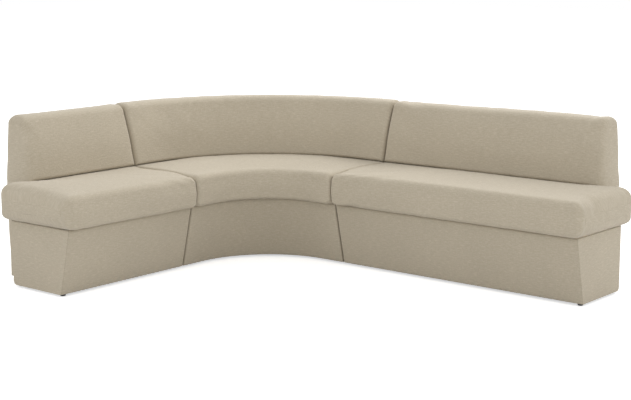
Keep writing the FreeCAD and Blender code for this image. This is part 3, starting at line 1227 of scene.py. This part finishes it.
@dataclass(frozen=True)
class SeatZones:
    """Stretches over which the seat's shaping sets in, in metres.

    Args:
        front_edge: depths where nothing carries the seat.
        upper: heights of its upper part.
        lower: heights of its lower part.
        before_lip: depths where it comes out from under the back.
        seam: distances from a seam where its front corners are rounded off.
        seam_top: depths of the rounding at its top.
        seam_foot: depths of the rounding at its foot.
        seam_foot_height: heights of the rounding at its foot.
        crown: depths where a straight seat's swell fades out.
        corner_crown: depths where the corner seat's swell fades out.
        front_top: depths where its front top edge is pressed down.
        heel: depths over which its rear reaches back beside the back's end.
        hanging: distances beyond the free end where its front edge hangs no more.
        beside: the same, where it stands beside the back's end.
        near_end: the same, where it swells towards the free end.
        from_seam: distances from the seam over which it starts to swell.
        corner_share: share of the corner's length over which it starts to swell.
    """

    front_edge: Stretch = (0.570, 0.602)
    upper: Stretch = (0.420, 0.490)
    lower: Stretch = (0.331, 0.420)
    before_lip: Stretch = (0.185, 0.230)
    seam: Stretch = (0.0, 0.032)
    seam_top: Stretch = (0.46, 0.60)
    seam_foot: Stretch = (0.592, 0.620)
    seam_foot_height: Stretch = (0.335, 0.400)
    crown: Stretch = (0.28, 0.52)
    corner_crown: Stretch = (0.38, 0.60)
    front_top: Stretch = (0.50, 0.62)
    heel: Stretch = (0.163, 0.360)
    hanging: Stretch = (-0.020, 0.010)
    beside: Stretch = (-0.105, -0.060)
    near_end: Stretch = (-0.32, -0.08)
    from_seam: Stretch = (0.02, 0.30)
    corner_share: float = 0.28


@dataclass(frozen=True)
class BackZones:
    """Stretches over which the back's shaping sets in, in metres.

    Args:
        heel: heights over which its foot's tuck fades out.
        taper_low: heights of the first part of its taper.
        taper_high: heights of the second part of its taper.
        end: distance before the free end where the taper starts.
        top: heights that rise towards the free end.
        rise: shares of its length over which they rise.
    """

    heel: Stretch = (0.02, 0.34)
    taper_low: Stretch = (0.50, 0.62)
    taper_high: Stretch = (0.60, 0.80)
    end: float = 0.40
    top: Stretch = (0.60, 0.80)
    rise: Stretch = (0.1, 0.6)


@dataclass
class Module:
    """One upholstered module: its plinth, seat cushion and back, in metres.

    Args:
        leg: which module this is.
        run: the line that it follows.
        length: from its first seam to its free end, or to its second seam.
        floor_gap: height of the covers over the floor.
        play: gap between parts that lie against each other.
        plinth_rear: depth of the plinth's rear.
        plinth_low: depth of the plinth's front at its foot.
        plinth_high: depth of the plinth's front at its top.
        plinth_reach: how much the plinth's cover adds to its free end.
        hem: width of the cover's edge that is turned in under the plinth and over it.
        cloth: thickness of the cover.
        underside: height of the seat's underside.
        carried_to: depth up to which the plinth carries the seat.
        carried_inset: how far before its free end the plinth stops carrying the seat.
        seat_front: depth of the seat's front.
        seat_tops: height of the seat's front top edge and of its rear top edge.
        ceiling: height of what lies over the seat's rear.
        shelf: depth up to which it lies there.
        seat_overhang: how far the seat stands beyond the plinth's free end.
        seat_droop: how far the seat's front edge hangs below the plinth's top.
        seat_heel: how far the seat reaches back beside the back's end.
        seat_crown: how much the seat swells at its rear.
        middle_crown: share of that swell away from the free end.
        seam_round: how far the front corners at a seam are rounded off.
        front_fall: how much its front top edge is pressed down.
        rear_fall: how much its rear is pressed down.
        ledge: height of the back's ledge over the seat.
        lip: depth of the back's front at the ledge.
        back_top: height of the back.
        back_top_depth: depth of the back's front at its top.
        back_inset: how far the back ends before the plinth's free end.
        back_rise: how much the back rises towards its free end.
        back_heel: how far the back's foot is tucked in.
        tapers: how far the back's free end stands out at its foot, and how far it draws in twice above.
        seam_gap: how far a seam's face stands back.
        seat_seam_gap: the same for the seat.
        seat_zones: where the seat's shaping sets in.
        back_zones: where the back's shaping sets in.
        pieces: the upholstery, once it is made.
    """

    leg: Leg
    run: Run
    length: float
    floor_gap: float = 0.012
    play: float = 0.0003
    plinth_rear: float = 0.163
    plinth_low: float = 0.518
    plinth_high: float = 0.588
    plinth_reach: float = 0.0
    hem: float = 0.024
    cloth: float = 0.003
    underside: float = 0.331
    carried_to: float = 0.580
    carried_inset: float = 0.004
    seat_front: float = 0.631
    seat_tops: Stretch = (0.492, 0.499)
    ceiling: float = 0.5018
    shelf: float = 0.190
    seat_overhang: float = 0.0
    seat_droop: float = 0.003
    seat_heel: float = 0.012
    seat_crown: float = 0.012
    middle_crown: float = 0.0
    seam_round: float = 0.012
    front_fall: float = 0.006
    rear_fall: float = 0.0
    ledge: float = 0.5023
    lip: float = 0.188
    back_top: float = 0.820
    back_top_depth: float = 0.102
    back_inset: float = 0.110
    back_rise: float = 0.0
    back_heel: float = 0.008
    tapers: Place = (0.009, 0.009, 0.011)
    seam_gap: float = 0.0033
    seat_seam_gap: float = 0.0020
    seat_zones: SeatZones = SeatZones()
    back_zones: BackZones = BackZones()
    pieces: List[bpy.types.Object] = field(default_factory=list)

    @property
    def closed(self) -> bool:
        """Whether both ends are seams."""
        return self.leg is Leg.CORNER

    @property
    def follow(self) -> float:
        """Share of the cloth's movement that the foam lets through, less where the module turns."""
        return 0.12 if self.closed else 0.22

    @property
    def foot_front(self) -> float:
        """Depth of the front of the back's foot."""
        return self.plinth_rear - self.play

    def faces(self, beyond: float, gap: float) -> Stretch:
        """Places of the module's first and last face, which stands beyond its length where it is free.

        Args:
            beyond: how far a free end stands out.
            gap: how far a seam's face stands back from the CAD's.

        Returns:
            Their places along the run.
        """
        first = self.run.plan.clearance + gap
        return first, self.length - first if self.closed else self.length + beyond

    def form(self, part: str, section: Section, faces: Stretch, seam: EndRounding, free: EndRounding,
             step: float = 0.016, shape: Optional[Callable[[float, float, float], Place]] = None
             ) -> bpy.types.Object:
        """Makes one cloth-covered form of the module.

        Args:
            part: the name's second half.
            section: its section.
            faces: where it starts and ends along the run.
            seam: rounding at a seam.
            free: rounding at the free end.
            step: spacing of its rings.
            shape: its own shaping.

        Returns:
            The new piece.
        """
        last = seam if self.closed else free
        return SoftForm(f"{self.leg.value}_{part}", self.run, section, *faces, seam, last, step, shape).build()

    def make_plinth(self) -> bpy.types.Object:
        """Fabric pulled tight over the plinth, open below, with its edges turned in.

        Returns:
            The new piece.
        """
        foot, top = self.floor_gap, self.underside - self.play
        section = Section(corners=((self.plinth_rear, foot), (self.plinth_low, foot), (self.plinth_high, top),
                                   (self.plinth_rear, top)),
                          radii=(0.020, 0.006, 0.010, 0.003), bows=(0.0, 0.0, 0.0, 0.0),
                          steps=(24, 22, 24, 22), main=(0, 1, 2, 3), arc_steps=2)
        seam = EndRounding(bottom=0.0015, front=0.010, top=0.0015, rear=0.008)
        free = EndRounding(bottom=0.0015, front=0.007, top=0.008, rear=0.009, stitched=0.0018)
        piece = self.form("plinth_upholstery", section, self.faces(self.plinth_reach, self.seam_gap), seam, free)
        self.open_up(piece, foot, top)
        return piece

    def open_up(self, piece: bpy.types.Object, foot: float, top: float, near: float = 0.0005) -> None:
        """Takes the middle out of the plinth's underside and top, and gives the cloth its thickness.

        Args:
            piece: the plinth's cover.
            foot: height of its underside.
            top: height of its top.
            near: how far a face may lie from them.
        """
        mesh = bmesh.new()
        mesh.from_mesh(piece.data)
        first, last = self.faces(0.0, 0.0)
        middle = []
        for face in mesh.faces:
            along, depth, height = self.run.locate(face.calc_center_median())
            flat = height < foot + near or height > top - near
            front = self.plinth_low if height < foot + near else self.plinth_high
            inside = first + self.hem < along < last - self.hem
            if flat and inside and self.plinth_rear + self.hem < depth < front - self.hem:
                middle.append(face)
        bmesh.ops.delete(mesh, geom=middle, context="FACES")
        mesh.to_mesh(piece.data)
        mesh.free()
        apply_modifier(piece, "SOLIDIFY", thickness=self.cloth, offset=-1.0)

    def shape_seat(self, along: float, depth: float, height: float) -> Place:
        """Lets the seat's front edge hang, rounds its front corners at a seam and fills out its rear.

        Args:
            along: place along the run.
            depth: place in from the rear.
            height: place over the floor.

        Returns:
            The moved point.
        """
        zones = self.seat_zones
        over = smooth(depth, *zones.front_edge)
        upper = smooth(height, *zones.upper)
        in_front = smooth(depth, *zones.before_lip)
        pressed = self.front_fall * smooth(depth, *zones.front_top)
        from_seam = min(along, self.length - along) if self.closed else along
        rounded = self.seam_round * (1 - smooth(from_seam, *zones.seam))
        height -= rounded * upper * smooth(depth, *zones.seam_top)
        height += rounded * (1 - smooth(height, *zones.seam_foot_height)) * smooth(depth, *zones.seam_foot)
        if self.closed:
            inside = smooth(from_seam, 0.0, zones.corner_share * self.length)
            crown = self.seat_crown * in_front * (1 - smooth(depth, *zones.corner_crown))
            height += (crown - pressed) * inside * upper
        else:
            past_end = along - self.length
            over *= 1 - smooth(past_end, *zones.hanging)
            beside = smooth(past_end, *zones.beside)
            near_end = smooth(past_end, *zones.near_end)
            swell = max(near_end, self.middle_crown * smooth(along, *zones.from_seam))
            crown = self.seat_crown * swell * max(beside, in_front) - self.rear_fall * (1 - near_end) * in_front
            height += (crown * (1 - smooth(depth, *zones.crown)) - pressed) * upper
            depth -= self.seat_heel * beside * (1 - smooth(depth, *zones.heel))
        return along, depth, height - self.seat_droop * over * (1 - smooth(height, *zones.lower))

    def make_seat(self, swelling: Swelling) -> bpy.types.Object:
        """Seat cushion with its crown, soft front and rounded free end.

        Args:
            swelling: lets the cushion swell.

        Returns:
            The new piece.
        """
        front_top, rear_top = self.seat_tops
        section = Section(corners=((self.plinth_rear, self.underside), (self.seat_front, self.underside),
                                   (self.seat_front, front_top), (self.plinth_rear, rear_top)),
                          radii=(0.016, 0.020, 0.034, 0.018), bows=(0.0, 0.005, 0.004, 0.0),
                          steps=(34, 6, 34, 6), main=(0, 1, 2, 3))
        seam = EndRounding(bottom=0.014, front=0.020, top=0.013, rear=0.006)
        free = EndRounding(bottom=0.052, front=0.046, top=0.062, rear=0.012, bow=0.005)
        piece = self.form("seat_cushion", section, self.faces(self.seat_overhang, self.seat_seam_gap), seam, free,
                          0.013, self.shape_seat)
        start, end = self.faces(0.0, self.seat_seam_gap)
        contact = Contact(start, end, floor=self.underside, rear=self.plinth_rear, floor_depth=self.carried_to,
                          shelf=self.shelf, heel=self.seat_heel, ceiling=self.ceiling, seam_last=self.closed)
        if not self.closed:
            contact = replace(contact, floor_end=self.length - self.carried_inset,
                              shelf_end=self.length - self.back_inset)
        swelling.add(piece, self.run, contact, Filling(follow=self.follow, spare=0.006))
        return piece

    def shape_back(self, along: float, depth: float, height: float) -> Place:
        """Tapers the back's free end upwards and tucks its heel in behind the plinth.

        Args:
            along: place along the run.
            depth: place in from the rear.
            height: place over the floor.

        Returns:
            The moved point.
        """
        zones = self.back_zones
        if not self.closed:
            out, in_low, in_high = self.tapers
            taper = out - in_low * smooth(height, *zones.taper_low) - in_high * smooth(height, *zones.taper_high)
            along += taper * smooth(along, self.length - zones.end, self.length - self.back_inset)
        heel = self.back_heel * (1 - smooth(height, *zones.heel)) * max(0.0, 1 - depth / self.foot_front)
        rising = smooth(along / self.length, *zones.rise) * smooth(height, *zones.top)
        return along, depth + heel, height + self.back_rise * rising

    def make_back(self, swelling: Swelling) -> bpy.types.Object:
        """Back with its leaning front, round top and flat foot behind the plinth.

        Args:
            swelling: lets the cushion swell.

        Returns:
            The new piece.
        """
        foot = self.foot_front
        section = Section(corners=((0.0, self.floor_gap), (foot, self.floor_gap), (foot, self.ledge),
                                   (self.lip, self.ledge), (self.back_top_depth, self.back_top),
                                   (0.0, self.back_top)),
                          radii=(0.004, 0.004, 0.003, 0.012, 0.042, 0.036),
                          bows=(0.0, 0.0, 0.0, 0.005, 0.0, 0.0),
                          steps=(6, 32, 2, 18, 6, 68), main=(0, 1, 4, 5), held=(2,))
        seam = EndRounding(bottom=0.006, front=0.022, top=0.028, rear=0.012)
        free = EndRounding(bottom=0.008, front=0.026, top=0.040, rear=0.010, bow=0.003)
        piece = self.form("back_cushion", section, self.faces(-self.back_inset, self.seam_gap), seam, free,
                          0.014, self.shape_back)
        start, end = self.faces(0.0, self.seam_gap)
        contact = Contact(start, end, floor=self.floor_gap, rear=0.0, foot=foot, foot_top=self.ledge,
                          seam_last=self.closed)
        swelling.add(piece, self.run, contact, Filling(follow=self.follow, spare=0.004))
        return piece

    def build(self, swelling: Swelling) -> None:
        """Makes the module's upholstery.

        Args:
            swelling: lets the cushions swell.
        """
        plinth = self.make_plinth()
        seat = self.make_seat(swelling)
        back = self.make_back(swelling)
        name = self.leg.value
        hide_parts(name + "_plinth_cover")
        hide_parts(name + "_seat_cover", name + "_seat_foam")
        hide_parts(name + "_back_cover", name + "_back_foam")
        self.pieces = [plinth, seat, back]

    def dress(self, finishes: Finishes) -> None:
        """Dresses the upholstery and lets it ride on the sofa.

        Args:
            finishes: the finishes to choose from.
        """
        for piece in self.pieces:
            piece.data.materials.clear()
            piece.data.materials.append(finishes.made["upholstery_fabric"])
            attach(piece, "root")
            LOG.info("%s: %d faces", piece.name, len(piece.data.polygons))


@dataclass(frozen=True)
class StudioCamera:
    """The camera, placed by the photograph's perspective.

    Args:
        place: where it stands, in metres.
        turn: how far it is turned, in degrees.
        pitch: how far it looks down, in degrees.
        lens: focal length in millimetres.
        shift: shift of the picture, in widths.
        sensor: width of the sensor in millimetres.
        reach: furthest distance that it shows.
    """

    place: Tuple[float, float, float] = (4.241, -5.078, 1.603)
    turn: float = 39.18
    pitch: float = 9.45
    lens: float = 79.7
    shift: Tuple[float, float] = (-0.0212, -0.0254)
    sensor: float = 36.0
    reach: float = 200.0

    def build(self) -> None:
        """Makes the camera and sets it as the scene's."""
        data = bpy.data.cameras.new("studio_camera")
        data.sensor_fit = "HORIZONTAL"
        data.sensor_width = self.sensor
        data.lens = self.lens
        data.shift_x, data.shift_y = self.shift
        data.clip_end = self.reach
        camera = bpy.data.objects.new("studio_camera", data)
        camera.location = self.place
        camera.rotation_euler = (math.radians(90 - self.pitch), 0.0, math.radians(self.turn))
        bpy.context.scene.collection.objects.link(camera)
        bpy.context.scene.camera = camera


@dataclass(frozen=True)
class Lamp:
    """One square soft lamp that faces the sofa.

    Args:
        name: its name.
        place: where it hangs, in metres.
        power: its power in watts.
        size: length of its sides.
        aim: the point that it faces.
    """

    name: str
    place: Place
    power: float
    size: float = 3.0
    aim: Place = (0.0, 0.0, 0.3)

    def build(self) -> None:
        """Makes the lamp."""
        data = bpy.data.lights.new(self.name, "AREA")
        data.energy = self.power
        data.shape = "SQUARE"
        data.size = self.size
        lamp = bpy.data.objects.new(self.name, data)
        lamp.location = self.place
        lamp.rotation_euler = (Vector(self.aim) - Vector(self.place)).to_track_quat("-Z", "Y").to_euler()
        bpy.context.scene.collection.objects.link(lamp)


@dataclass(frozen=True)
class Studio:
    """White floor and soft light from all round.

    Args:
        lamps: the lamps.
        dome: strength of the even light.
        floor_size: length of the floor's sides, in metres.
        floor_grey: how much light the floor gives back.
        floor_glow: how much white the floor adds where it is seen.
    """

    lamps: Tuple[Lamp, ...] = (Lamp("right_lamp", (5.5, 1.5, 2.6), 36.0),
                               Lamp("front_lamp", (-1.5, -6.0, 2.6), 33.0),
                               Lamp("rear_lamp", (-1.0, 4.0, 4.2), 175.0))
    dome: float = 0.90
    floor_size: float = 60.0
    floor_grey: float = 0.80
    floor_glow: float = 0.62

    def build(self) -> None:
        """Makes the floor, the dome and the lamps."""
        self.make_floor()
        self.make_dome()
        for lamp in self.lamps:
            lamp.build()

    def make_floor(self) -> None:
        """Makes the floor, which shows white but takes the sofa's shadow."""
        half = self.floor_size / 2
        corners = [(-half, -half, 0), (half, -half, 0), (half, half, 0), (-half, half, 0)]
        mesh = bpy.data.meshes.new("studio_floor")
        mesh.from_pydata(corners, [], [(0, 1, 2, 3)])
        floor = bpy.data.objects.new("studio_floor", mesh)
        bpy.context.scene.collection.objects.link(floor)
        shader = Shader("studio_floor_white")
        base = shader.node("BsdfDiffuse")
        base.inputs["Color"].default_value = (self.floor_grey, self.floor_grey, self.floor_grey, 1.0)
        glow = shader.node("Emission")
        shader.join(shader.math("MULTIPLY", self.seen_ray(shader.tree), self.floor_glow), glow.inputs["Strength"])
        both = shader.node("AddShader")
        shader.join(base.outputs[0], both.inputs[0])
        shader.join(glow.outputs[0], both.inputs[1])
        shader.join(both.outputs[0], shader.output.inputs["Surface"])
        mesh.materials.append(shader.material)

    @staticmethod
    def seen_ray(tree: bpy.types.NodeTree) -> bpy.types.NodeSocket:
        """One where the floor or the dome is seen, also in a reflection or through glass.

        Args:
            tree: the material's or the world's nodes.

        Returns:
            The value.
        """
        path = tree.nodes.new("ShaderNodeLightPath")
        seen = path.outputs["Is Camera Ray"]
        for kind in ("Is Glossy Ray", "Is Transmission Ray"):
            either = tree.nodes.new("ShaderNodeMath")
            either.operation = "MAXIMUM"
            tree.links.new(seen, either.inputs[0])
            tree.links.new(path.outputs[kind], either.inputs[1])
            seen = either.outputs[0]
        return seen

    def make_dome(self) -> None:
        """Makes the even light from all round, which is seen as white."""
        world = bpy.data.worlds.new("studio_dome")
        bpy.context.scene.world = world
        world.use_nodes = True
        tree = world.node_tree
        tree.nodes.clear()
        mix = tree.nodes.new("ShaderNodeMixShader")
        output = tree.nodes.new("ShaderNodeOutputWorld")
        tree.links.new(self.seen_ray(tree), mix.inputs[0])
        for index, strength in ((1, self.dome), (2, 1.0)):
            light = tree.nodes.new("ShaderNodeBackground")
            light.inputs["Color"].default_value = (1.0, 1.0, 1.0, 1.0)
            light.inputs["Strength"].default_value = strength
            tree.links.new(light.outputs[0], mix.inputs[index])
        tree.links.new(mix.outputs[0], output.inputs["Surface"])


def main() -> None:
    """Builds the sofa's camera, modules, finishes and studio in order."""
    logging.basicConfig(level=logging.INFO, format="%(name)s: %(message)s")
    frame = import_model()
    StudioCamera().build()
    bpy.context.scene.view_settings.view_transform = "Standard"
    finishes = Finishes()
    finishes.make()
    finishes.dress_frame(frame["nodes"])
    plan = Plan.from_frame()
    _, long_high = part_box("right_plinth_cover")
    short_low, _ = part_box("left_plinth_cover")
    swelling = Swelling()
    modules = [
        Module(Leg.SHORT, Run(plan, Leg.SHORT), plan.rear_y - plan.seam - short_low.y, seat_overhang=0.055,
               front_fall=0.005, rear_fall=0.005, back_top=0.817, plinth_reach=0.006),
        Module(Leg.CORNER, Run(plan, Leg.CORNER), Run(plan, Leg.CORNER).corner_length),
        Module(Leg.LONG, Run(plan, Leg.LONG), long_high.x - plan.rear_x - plan.seam, seat_overhang=0.045,
               front_fall=0.0, middle_crown=0.6, back_rise=0.008),
    ]
    for module in modules:
        module.build(swelling)
        LOG.info("%s module: %.3f m long", module.leg.value, module.length)
    swelling.run()
    for module in modules:
        module.dress(finishes)
    Studio().build()
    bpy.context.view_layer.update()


if __name__ == "__main__":
    main()
